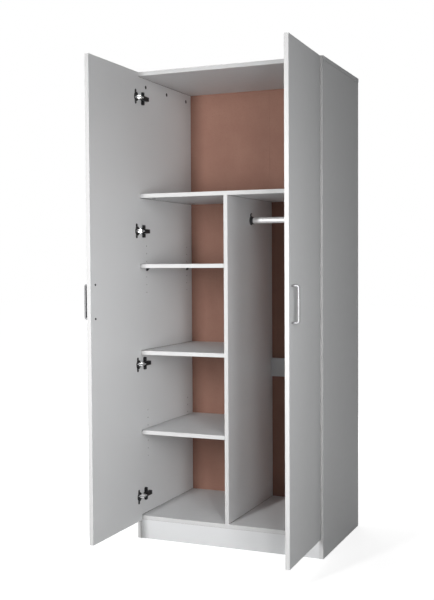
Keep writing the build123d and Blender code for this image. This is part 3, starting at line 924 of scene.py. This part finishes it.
@dataclass
class Door(Assembly):
    """One door with its edge bands, bow handle, handle screws and the hinge parts that it carries."""

    hand: Hand
    handle_width: float = 0.012
    handle_thickness: float = 0.006
    handle_bend: float = 0.007
    handle_bend_steps: int = 9
    handle_squareness: float = 6.5
    handle_screw: DrivenHead = DrivenHead(0.004, 0.0009, 0.0006, 0.0022, 0.0010)
    ear_screw: DrivenHead = DrivenHead(0.004, 0.0026, 0.0006, 0.0022, 0.0012)
    ear_screw_inset: float = 0.0285
    ear_screw_rise: float = 0.024
    ear_thickness: float = 0.0012

    def __post_init__(self) -> None:
        """Read the door's own axes from the largest face of its node."""
        word = self.hand.word
        self.body = f"door_{word}_body"
        self.node = f"door_{word}"
        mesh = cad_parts[self.node].data
        widest = max(mesh.polygons, key=lambda face: face.area)
        inward = np.array(widest.normal)
        self.inward = inward * math.copysign(1.0, inward[0] * self.hand.value)
        self.along = np.cross(UP, self.inward) * -self.hand.value
        points = node_points(self.node)
        self.hinge_edge, self.free_edge = self.span(points, self.along)
        self.inner_face, self.outer_face = self.span(points, self.inward)
        self.bottom, self.top = self.span(points, UP)

    @staticmethod
    def span(points: np.ndarray, axis: np.ndarray) -> np.ndarray:
        """Least and greatest reach of points along an axis."""
        reach = points @ axis
        return np.array([reach.min(), reach.max()])

    def point(self, along: float, depth: float, height: float) -> np.ndarray:
        """Point of the door.

        Args:
            along: Distance from the hinge edge towards the free edge.
            depth: Distance from the inner face into the board.
            height: Height above the floor.

        Returns:
            The point in the wardrobe's frame.
        """
        level = (self.hinge_edge + along) * self.along + (self.inner_face + depth) * self.inward
        return level + height * UP

    def build(self) -> None:
        """Dress the door and add its pieces."""
        word = self.hand.word
        self.dress(BOARD, self.node)
        self.dress(SCREW_DARK, f"handle_screws_{word}")
        self.dress(HINGE_DARK, f"hinge_cups_{word}")
        self.bands()
        self.handle()
        self.handle_screw_heads()
        self.ear_screws()

    def bands(self) -> None:
        """Cover all four edges of the door with soft-cornered bands."""
        width = self.free_edge - self.hinge_edge
        thickness = self.outer_face - self.inner_face
        corners = {
            (along, height): self.point(along, thickness / 2, height)
            for along in (0.0, width)
            for height in (self.bottom, self.top)
        }
        runs = [
            ((0.0, self.bottom), (0.0, self.top)),
            ((width, self.bottom), (width, self.top)),
            ((0.0, self.bottom), (width, self.bottom)),
            ((0.0, self.top), (width, self.top)),
        ]
        edges = [np.stack([corners[start], corners[end]]) for start, end in runs]
        strips = [EDGE_BAND.strip(edge, thickness, self.inward) for edge in edges]
        self.add(f"door_edge_bands_{self.hand.word}", strips, BAND, self.body, "white_board")

    def handle(self) -> None:
        """Replace the square-edged handle with a rounded bow on the same line."""
        node = f"handle_{self.hand.word}"
        points = node_points(node)
        along = self.span(points, self.along).mean()
        bottom, top = self.span(points, UP)
        reach = self.span(points, self.inward)[1] - self.outer_face - self.handle_thickness / 2
        low, high = bottom + self.handle_thickness / 2, top - self.handle_thickness / 2
        turn = np.linspace(0, np.pi / 2, self.handle_bend_steps)
        bend = self.handle_bend
        out = np.concatenate([[0.0, reach - bend], reach - bend + bend * np.sin(turn[1:])])
        rise = np.concatenate([[low, low], low + bend - bend * np.cos(turn[1:])])
        legs = np.stack([out, rise], axis=1)
        flat = np.concatenate([legs, (legs * [1, -1] + [0, low + high])[::-1]])
        path = along * self.along + (self.outer_face + flat[:, :1]) * self.inward + flat[:, 1:] * UP
        size = (self.handle_width, self.handle_thickness)
        section = superellipse(*size, self.handle_squareness, SECTION_STEPS)
        piece = self.add(f"bow_handle_{self.hand.word}", [swept(path, section, self.along)],
                         HANDLE_METAL, self.body, "handle_metal")
        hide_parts(node)

    def handle_screw_heads(self) -> None:
        """Put a driven head on each handle screw, on the inner face."""
        node = f"handle_screws_{self.hand.word}"
        points = node_points(node)
        along = self.span(points, self.along).mean() - self.hinge_edge
        depth = self.span(points, self.inward)[0] - self.inner_face
        head = self.handle_screw.grid()
        seats = [Seat(self.point(along, depth, height), -self.inward, UP) for height in levels(node)]
        self.add(f"handle_screw_heads_{self.hand.word}", [seat.place(head) for seat in seats],
                 SCREW_DARK, self.body, "screw_dark")

    def ear_screws(self) -> None:
        """Screw the ears of every hinge cup to the door."""
        head = self.ear_screw.grid()
        seats = [
            Seat(self.point(self.ear_screw_inset, -self.ear_thickness, height + rise), -self.inward, UP)
            for height in levels(f"hinge_cups_{self.hand.word}")
            for rise in (-self.ear_screw_rise, self.ear_screw_rise)
        ]
        self.add(f"cup_screws_{self.hand.word}", [seat.place(head) for seat in seats],
                 SCREW_DARK, self.body, "screw_dark")


@dataclass
class HingeSet(Assembly):
    """The arms, plates and links of one side's hinges, with the screws that a hand can reach."""

    hand: Hand
    body: str = "carcass"
    plate_thickness: float = 0.002
    plate_screw_rise: float = 0.0175
    boss_width: float = 0.0155
    boss_length: float = 0.0165
    boss_height: float = 0.0065
    boss_rounding: float = 0.0008
    boss_rounding_steps: int = 5
    boss_squareness: float = 7.0
    boss_sink: float = 0.0002
    plate_screw: DrivenHead = DrivenHead(0.0042, 0.0022, 0.0007, 0.0024, 0.0012)
    adjuster: DrivenHead = DrivenHead(0.0036, 0.0012, 0.0006, 0.0022, 0.0010, power=6.0)
    adjuster_setbacks: tuple[float, float] = (0.030, 0.052)
    end_reach: float = 0.001

    def build(self) -> None:
        """Dress the hinge parts and add their screws."""
        word = self.hand.word
        self.dress(HINGE_DARK, f"hinge_arms_{word}", f"hinge_plates_{word}")
        self.dress(LINK_STEEL, f"hinge_outer_links_{word}", f"hinge_inner_links_{word}")
        self.plate_screws()
        self.adjusters()

    def seats(self, node: str, offset: float, places: list[tuple[float, float]]) -> list[Seat]:
        """Seats that face into the bay beside every hinge.

        Args:
            node: Node whose groups give the hinges' heights.
            offset: Distance of the seat from the side's inner face.
            places: Depth and rise of each seat from the hinge's middle.

        Returns:
            Seats of all hinges.
        """
        face = inner_face(self.hand) - self.hand.value * offset
        out = vector(-self.hand.value, 0, 0)
        return [
            Seat(vector(face, depth, height + rise), out, UP)
            for height in levels(node)
            for depth, rise in places
        ]

    def boss(self) -> Grid:
        """Soft-cornered block that narrows by a quarter round at its top and is closed at both ends."""
        turn = np.linspace(0, np.pi / 2, self.boss_rounding_steps)
        shrink = 2 * self.boss_rounding / self.boss_width * (1 - np.cos(turn))
        rise = self.boss_height - self.boss_rounding * (1 - np.sin(turn))
        sides = [[0.0, -self.boss_sink], [1.0, -self.boss_sink]]
        profile = np.concatenate([sides, np.stack([1 - shrink, rise], axis=1), [[0.0, self.boss_height]]])
        size = (self.boss_width, self.boss_length)
        return stacked(superellipse(*size, self.boss_squareness, SECTION_STEPS), profile)

    def plate_screws(self) -> None:
        """Raise a boss on both wings of every mounting plate and screw it to the side."""
        word = self.hand.word
        node = f"hinge_plates_{word}"
        points = node_points(node)
        wings = points[points[:, 2] > points[:, 2].max() - self.end_reach]
        depth = (wings[:, 1].min() + wings[:, 1].max()) / 2
        places = [(depth, rise) for rise in (-self.plate_screw_rise, self.plate_screw_rise)]
        block, head = self.boss(), self.plate_screw.grid()
        feet = self.seats(node, self.plate_thickness, places)
        tops = self.seats(node, self.plate_thickness + self.boss_height, places)
        blocks, heads = [seat.place(block) for seat in feet], [seat.place(head) for seat in tops]
        self.add(f"plate_bosses_{word}", blocks, HINGE_DARK, self.body, "hinge_dark")
        self.add(f"plate_screws_{word}", heads, SCREW_DARK, self.body, "screw_dark")

    def adjusters(self) -> None:
        """Set the two adjusting screws on the web of every arm."""
        node = f"hinge_arms_{self.hand.word}"
        head = self.adjuster.grid()
        points = node_points(node)
        rear = points[points[:, 1] > points[:, 1].max() - self.end_reach]
        offset = np.abs(rear[:, 0] - inner_face(self.hand)).max()
        front = node_box(f"side_{self.hand.word}")[0][1]
        places = [(front + setback, 0.0) for setback in self.adjuster_setbacks]
        seats = self.seats(node, offset, places)
        self.add(f"arm_screws_{self.hand.word}", [seat.place(head) for seat in seats],
                 SCREW_DARK, self.body, "screw_dark")


# Studio


@dataclass(frozen=True)
class Softbox:
    """A large soft lamp aimed at a point, with a grid that narrows its beam to the spread in degrees."""

    name: str
    place: Place
    aim: Place
    size: tuple[float, float]
    power: float
    spread: float = 180.0

    def build(self) -> None:
        """Hang the lamp."""
        lamp = bpy.data.lights.new(self.name, "AREA")
        lamp.shape = "RECTANGLE"
        lamp.size, lamp.size_y = self.size
        lamp.energy = self.power
        lamp.spread = math.radians(self.spread)
        made = bpy.data.objects.new(self.name, lamp)
        out = vector(*self.place) - vector(*self.aim)
        out /= np.linalg.norm(out)
        right = np.cross(UP, out)
        right /= np.linalg.norm(right)
        made.matrix_world = axes_matrix(right, np.cross(out, right), out, self.place)
        bpy.context.scene.collection.objects.link(made)


def axes_matrix(x: np.ndarray, y: np.ndarray, z: np.ndarray, origin: Place) -> Matrix:
    """Placement matrix from three unit axes and an origin.

    Args:
        x: First axis.
        y: Second axis.
        z: Third axis.
        origin: Place of the object.

    Returns:
        The matrix.
    """
    table = np.eye(4)
    table[:3, :3] = np.stack([x, y, z], axis=1)
    table[:3, 3] = origin
    return Matrix(table.tolist())


def seen_directly(tree: bpy.types.NodeTree) -> bpy.types.NodeSocket:
    """Share that is one for rays from the camera, and for mirrored or refracted ones.

    Args:
        tree: Node tree to work in.

    Returns:
        The share.
    """
    path = tree.nodes.new("ShaderNodeLightPath")
    share = path.outputs["Is Camera Ray"]
    for ray in ("Is Glossy Ray", "Is Transmission Ray"):
        either = tree.nodes.new("ShaderNodeMath")
        either.operation = "MAXIMUM"
        tree.links.new(share, either.inputs[0])
        tree.links.new(path.outputs[ray], either.inputs[1])
        share = either.outputs[0]
    return share


@dataclass
class Studio:
    """Pale floor, white surround, soft lamps, and a camera in front of the right door."""

    camera_place: Place = (1.465557, -3.544004, 1.134618)
    camera_yaw: float = 23.036
    camera_pitch: float = -2.190
    camera_roll: float = -0.324
    focal_pixels: float = 970.97
    image_height: float = 600.0
    film_long_side: float = 36.0
    floor_reach: float = 20.0
    floor_tone: float = 0.30
    floor_lift: float = 0.86
    floor_roughness: float = 0.9
    shadow_reach: tuple[float, float] = (0.6, 2.2)
    ambient: float = 0.01

    lamps = (
        Softbox("key_softbox", (-0.45, -3.00, 1.40), (0.0, -0.1, 0.9), (0.2, 1.5), 72.0),
        Softbox("side_softbox", (1.90, -2.30, 1.35), (-0.84, 0.0, 0.9), (0.5, 2.4), 9.6, 74.0),
        Softbox("strip_lamp", (1.22, -2.02, 0.95), (-0.80, 0.0, 0.8), (0.2, 1.0), 6.2, 90.0),
        Softbox("rear_softbox", (-1.00, 3.00, 1.60), (0.0, 0.5, 1.0), (1.6, 1.6), 50.0),
        Softbox("left_softbox", (-2.90, 0.45, 1.40), (-0.4, 0.2, 1.0), (1.2, 1.6), 23.0),
        Softbox("top_softbox", (-0.50, 0.70, 3.40), (-0.1, 0.3, 1.9), (1.2, 0.8), 20.0),
    )

    def build(self) -> None:
        """Set up the whole studio."""
        scene = bpy.context.scene
        scene.view_settings.view_transform = "Standard"
        self.surround(scene)
        self.floor()
        for lamp in self.lamps:
            lamp.build()
        self.camera(scene)

    def camera(self, scene: bpy.types.Scene) -> None:
        """Stand the camera at the photograph's viewing angle.

        Args:
            scene: The scene that looks through it.
        """
        yaw, pitch, roll = np.radians([self.camera_yaw, self.camera_pitch, self.camera_roll])
        ahead = vector(-math.sin(yaw) * math.cos(pitch), math.cos(yaw) * math.cos(pitch), math.sin(pitch))
        level = vector(math.cos(yaw), math.sin(yaw), 0)
        upright = np.cross(level, ahead)
        right = level * math.cos(roll) + upright * math.sin(roll)
        lens = bpy.data.cameras.new("camera")
        lens.sensor_width = self.film_long_side
        lens.lens = self.focal_pixels / self.image_height * self.film_long_side
        made = bpy.data.objects.new("camera", lens)
        made.matrix_world = axes_matrix(right, np.cross(right, ahead), -ahead, self.camera_place)
        scene.collection.objects.link(made)
        scene.camera = made

    def surround(self, scene: bpy.types.Scene) -> None:
        """Surround that looks white and lights the object softly.

        Args:
            scene: The scene that gets the world.
        """
        world = bpy.data.worlds.new("surround")
        world.use_nodes = True
        tree = world.node_tree
        tree.nodes.clear()
        light, seen = [tree.nodes.new("ShaderNodeBackground") for _ in range(2)]
        light.inputs["Color"].default_value = seen.inputs["Color"].default_value = WHITE
        light.inputs["Strength"].default_value = self.ambient
        mixer = tree.nodes.new("ShaderNodeMixShader")
        tree.links.new(seen_directly(tree), mixer.inputs[0])
        tree.links.new(light.outputs[0], mixer.inputs[1])
        tree.links.new(seen.outputs[0], mixer.inputs[2])
        output = tree.nodes.new("ShaderNodeOutputWorld")
        tree.links.new(mixer.outputs[0], output.inputs["Surface"])
        scene.world = world

    def floor(self) -> None:
        """Pale floor that keeps the object's shadow, lifted to white where the camera sees it."""
        reach = self.floor_reach
        mesh = bpy.data.meshes.new("floor")
        corners = np.array([[-reach, -reach, 0], [reach, -reach, 0], [reach, reach, 0], [-reach, reach, 0]])
        mesh.from_pydata(corners, [], [(0, 1, 2, 3)])
        made = bpy.data.objects.new("floor", mesh)
        bpy.context.scene.collection.objects.link(made)
        work = Shading("studio_floor")
        near, far = self.shadow_reach
        distance = work.node("ShaderNodeVectorMath", {0: work.place}, operation="LENGTH").outputs["Value"]
        limits = {"Value": distance, "From Min": near, "From Max": far, "To Min": self.floor_lift}
        lift = work.node("ShaderNodeMapRange", limits).outputs[0]
        seen = {0: lift, 1: seen_directly(work.tree)}
        shown = work.node("ShaderNodeMath", seen, operation="MULTIPLY").outputs[0]
        tone = (self.floor_tone, self.floor_tone, self.floor_tone, 1.0)
        work.feed(work.shader, {"Base Color": tone, "Roughness": self.floor_roughness})
        work.feed(work.shader, {"Specular IOR Level": 0.0, "Emission Color": WHITE})
        work.feed(work.shader, {"Emission Strength": shown})
        mesh.materials.append(work.material)


def main() -> None:
    """Build every sub-assembly in order, then the studio."""
    logging.basicConfig(level=logging.INFO, format="%(name)s: %(message)s")
    assemblies: list[Assembly] = [Carcass(), Back(), HangingRail()]
    for hand in Hand:
        assemblies += [Door(hand), HingeSet(hand)]
    for assembly in assemblies:
        assembly.build()
    Studio().build()


if __name__ == "__main__":
    main()
